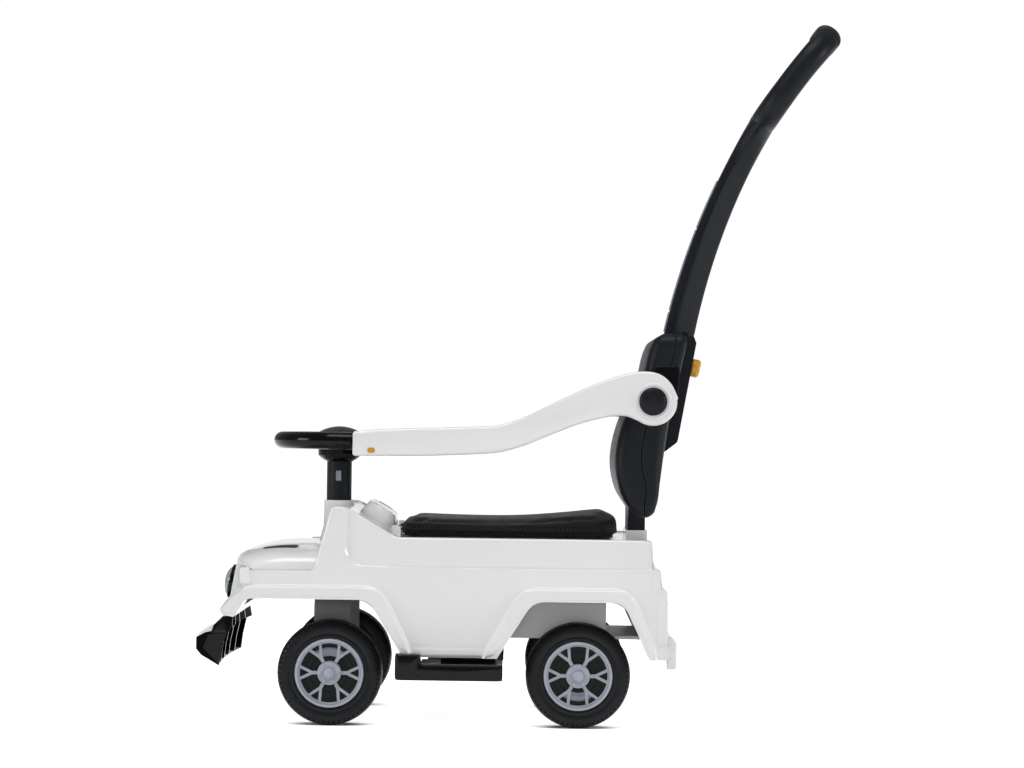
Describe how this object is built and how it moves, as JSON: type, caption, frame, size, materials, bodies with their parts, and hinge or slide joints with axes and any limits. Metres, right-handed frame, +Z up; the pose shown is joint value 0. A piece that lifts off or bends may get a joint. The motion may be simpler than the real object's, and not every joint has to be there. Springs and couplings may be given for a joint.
{
  "type": "ride-on push car with parent handle",
  "caption": "White off-road style ride-on push car with padded seat, steering wheel, guard arms, backrest and a long curved parent push handle.",
  "frame": {"origin": "on the floor, under the middle of the whole car's length and width, handle included", "axes": "-X towards the front of the car, +Y to the rider's right, +Z up"},
  "size_m": [0.7978, 0.394, 0.879],
  "materials": {
    "white_shell": "glossy moulded polypropylene",
    "white_chassis": "satin moulded polypropylene",
    "tub_grey": "satin moulded polypropylene",
    "black_gloss": "glossy moulded polypropylene",
    "black_satin": "fine-grained moulded polypropylene",
    "horn_grey": "polished dome",
    "snap_grey": "moulded snap",
    "fork_grey": "glass-filled nylon",
    "bush_white": "acetal",
    "tyre_black": "blow-moulded hollow plastic tyre",
    "dish_dark": "moulded plastic",
    "rim_silver": "silver-grey pigmented plastic",
    "steel": "zinc-plated",
    "seat_leather": "artificial leather with a fine grain",
    "grip_rubber": "matt soft grip",
    "release_yellow": "moulded button",
    "latch_orange": "moulded button",
    "lens_clear": "clear lens",
    "indicator_amber": "clear amber",
    "lamp_red": "clear red"
  },
  "bodies": {
    "car": {"body_shell": "white_shell", "dash_pod_lid": "white_shell", "rear_bumper": "white_shell", "chassis_pan": "white_chassis", "storage_tub": "tub_grey", "front_bumper": "black_gloss", "hood_vents": "black_gloss", "grille": "black_gloss", "headlight_bezels": "black_gloss", "guard_pivot_caps": "black_gloss", "column_collar": "black_gloss", "column_tube": "black_satin", "backrest_front": "black_satin", "backrest_rear": "black_satin", "backrest_post": "black_satin", "handle_socket": "black_satin", "footrest_guide": "black_satin", "column_snaps": "snap_grey", "steering_bushes": "bush_white", "rear_axle": "steel", "rear_axle_nuts": "steel", "seat_hinge_pins": "steel", "guard_pivot_pins": "steel", "chassis_screws": "steel", "release_spring": "steel", "headlight_lenses": "lens_clear", "corner_indicators": "indicator_amber", "tail_lamps": "lamp_red"},
    "steering": {"front_fork": "fork_grey", "steering_shaft": "steel", "front_axle": "steel", "front_axle_nuts": "steel", "steering_wheel": "black_gloss", "horn_spring": "steel"},
    "horn": {"horn_pad": "horn_grey"},
    "seat": {"seat_base": "black_satin", "seat_cushion": "seat_leather"},
    "handle": {"handle_post": "black_satin", "handle_grip": "grip_rubber"},
    "release": {"release_button": "release_yellow"},
    "left_footrest": {"footrest_left": "black_gloss"},
    "left_guard": {"guard_arm_left": "white_shell"},
    "left_latch": {"guard_latch_left": "latch_orange"},
    "front_left_wheel": {"front_left_tyre": "tyre_black", "front_left_dish": "dish_dark", "front_left_cover": "rim_silver"},
    "rear_left_wheel": {"rear_left_tyre": "tyre_black", "rear_left_dish": "dish_dark", "rear_left_cover": "rim_silver"},
    "right_footrest": {"footrest_right": "black_gloss"},
    "right_guard": {"guard_arm_right": "white_shell"},
    "right_latch": {"guard_latch_right": "latch_orange"},
    "front_right_wheel": {"front_right_tyre": "tyre_black", "front_right_dish": "dish_dark", "front_right_cover": "rim_silver"},
    "rear_right_wheel": {"rear_right_tyre": "tyre_black", "rear_right_dish": "dish_dark", "rear_right_cover": "rim_silver"}
  },
  "joints": [
    {"name": "steering_turn", "type": "hinge", "parent": "car", "child": "steering", "pos_m": [-0.23, 0, 0.2], "axis": [0, 0, 1], "range_deg": [-25, 25]},
    {"name": "horn_press", "type": "slide", "parent": "steering", "child": "horn", "axis": [0, 0, -1], "range_m": [0, 0.003], "stiffness_N_per_m": 600, "springref_m": -0.002},
    {"name": "seat_lid", "type": "hinge", "parent": "car", "child": "seat", "pos_m": [-0.15, 0, 0.2365], "axis": [0, -1, 0], "range_deg": [0, 50]},
    {"name": "handle_lift", "type": "slide", "parent": "car", "child": "handle", "axis": [0.1994, 0, 0.9799], "range_m": [0, 0.12]},
    {"name": "release_press", "type": "slide", "parent": "car", "child": "release", "axis": [-0.9799, 0, 0.1994], "range_m": [0, 0.004], "stiffness_N_per_m": 500, "springref_m": -0.002},
    {"name": "footrest_left_pull", "type": "slide", "parent": "car", "child": "left_footrest", "axis": [0, -1, 0], "range_m": [0, 0.045]},
    {"name": "guard_left_lift", "type": "hinge", "parent": "car", "child": "left_guard", "pos_m": [0.16, -0.1335, 0.3995], "axis": [0, 1, 0], "range_deg": [0, 85]},
    {"name": "latch_left_press", "type": "slide", "parent": "left_guard", "child": "left_latch", "axis": [0, 1, 0], "range_m": [0, 0.0025], "stiffness_N_per_m": 300, "springref_m": -0.002},
    {"name": "front_left_spin", "type": "hinge", "parent": "steering", "child": "front_left_wheel", "pos_m": [-0.23, -0.125, 0.064], "axis": [0, 1, 0], "continuous": true},
    {"name": "rear_left_spin", "type": "hinge", "parent": "car", "child": "rear_left_wheel", "pos_m": [0.073, -0.125, 0.064], "axis": [0, 1, 0], "continuous": true},
    {"name": "footrest_right_pull", "type": "slide", "parent": "car", "child": "right_footrest", "axis": [0, 1, 0], "range_m": [0, 0.045]},
    {"name": "guard_right_lift", "type": "hinge", "parent": "car", "child": "right_guard", "pos_m": [0.16, 0.1335, 0.3995], "axis": [0, 1, 0], "range_deg": [0, 85]},
    {"name": "latch_right_press", "type": "slide", "parent": "right_guard", "child": "right_latch", "axis": [0, -1, 0], "range_m": [0, 0.0025], "stiffness_N_per_m": 300, "springref_m": -0.002},
    {"name": "front_right_spin", "type": "hinge", "parent": "steering", "child": "front_right_wheel", "pos_m": [-0.23, 0.125, 0.064], "axis": [0, 1, 0], "continuous": true},
    {"name": "rear_right_spin", "type": "hinge", "parent": "car", "child": "rear_right_wheel", "pos_m": [0.073, 0.125, 0.064], "axis": [0, 1, 0], "continuous": true}
  ]
}
